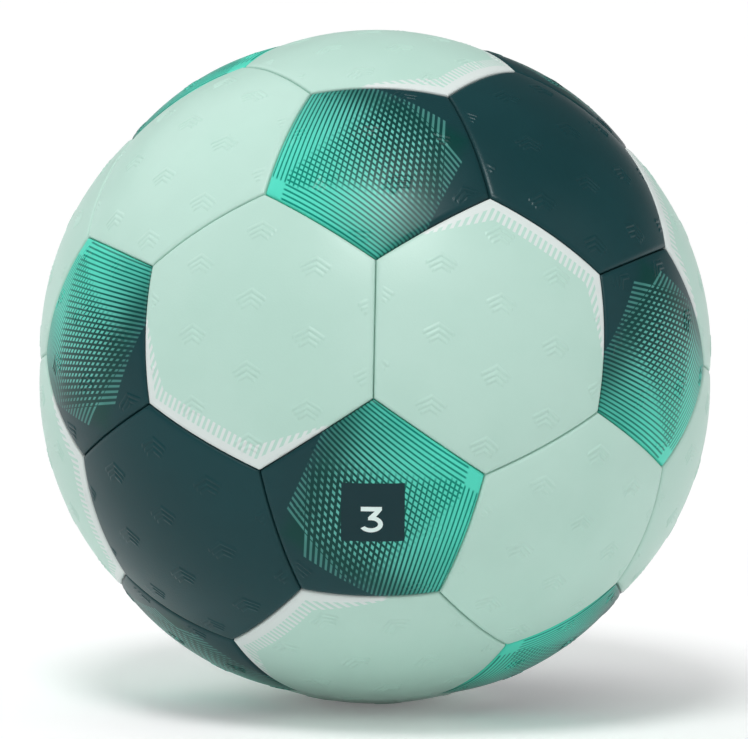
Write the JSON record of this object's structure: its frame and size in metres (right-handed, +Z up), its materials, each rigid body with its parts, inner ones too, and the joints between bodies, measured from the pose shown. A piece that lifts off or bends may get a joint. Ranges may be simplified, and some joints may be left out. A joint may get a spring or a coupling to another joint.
{
  "type": "handball",
  "caption": "Stitched ball of hexagon and pentagon panels over foam, woven lining and an air bladder, pumped through a needle valve; gripped and thrown in one hand.",
  "frame": {"origin": "centre of the ball", "axes": "+Z up and -Y towards the viewer of the picture; +X to its right, along a two-fold axis of the panel layout; the seam between the two front hexagons is lifted 12.5 degrees from -Y"},
  "size_m": [0.1862, 0.1858, 0.1876],
  "materials": {
    "turquoise_cover": "satin",
    "bordered_mint_cover": "satin",
    "plain_mint_cover": "satin",
    "dark_teal_cover": "satin",
    "foam": "matte",
    "lining": "matte",
    "thread": "satin",
    "bladder_rubber": "matte",
    "patch_rubber": "matte",
    "valve_rubber": "satin"
  },
  "bodies": {
    "root": {"pentagon_panel_1": "turquoise_cover", "pentagon_panel_2": "turquoise_cover", "pentagon_panel_3": "turquoise_cover", "pentagon_panel_4": "turquoise_cover", "pentagon_panel_5": "turquoise_cover", "pentagon_panel_6": "turquoise_cover", "pentagon_panel_7": "turquoise_cover", "pentagon_panel_8": "turquoise_cover", "pentagon_panel_9": "turquoise_cover", "pentagon_panel_10": "turquoise_cover", "pentagon_panel_11": "turquoise_cover", "pentagon_panel_12": "turquoise_cover", "bordered_hexagon_panel_1": "bordered_mint_cover", "bordered_hexagon_panel_2": "bordered_mint_cover", "bordered_hexagon_panel_3": "bordered_mint_cover", "bordered_hexagon_panel_4": "bordered_mint_cover", "bordered_hexagon_panel_5": "bordered_mint_cover", "bordered_hexagon_panel_6": "bordered_mint_cover", "bordered_hexagon_panel_7": "bordered_mint_cover", "bordered_hexagon_panel_8": "bordered_mint_cover", "bordered_hexagon_panel_9": "bordered_mint_cover", "bordered_hexagon_panel_10": "bordered_mint_cover", "bordered_hexagon_panel_11": "bordered_mint_cover", "bordered_hexagon_panel_12": "bordered_mint_cover", "dark_hexagon_panel_1": "dark_teal_cover", "dark_hexagon_panel_2": "dark_teal_cover", "dark_hexagon_panel_3": "dark_teal_cover", "dark_hexagon_panel_4": "dark_teal_cover", "plain_hexagon_panel_1": "plain_mint_cover", "plain_hexagon_panel_2": "plain_mint_cover", "plain_hexagon_panel_3": "plain_mint_cover", "plain_hexagon_panel_4": "plain_mint_cover", "pentagon_foam_pads": "foam", "hexagon_foam_pads": "foam", "pentagon_linings": "lining", "hexagon_linings": "lining", "seam_thread": "thread", "bladder": "bladder_rubber", "balance_patch": "patch_rubber", "valve_stem": "valve_rubber", "valve_plug": "valve_rubber", "valve_ring": "patch_rubber"}
  },
  "joints": []
}
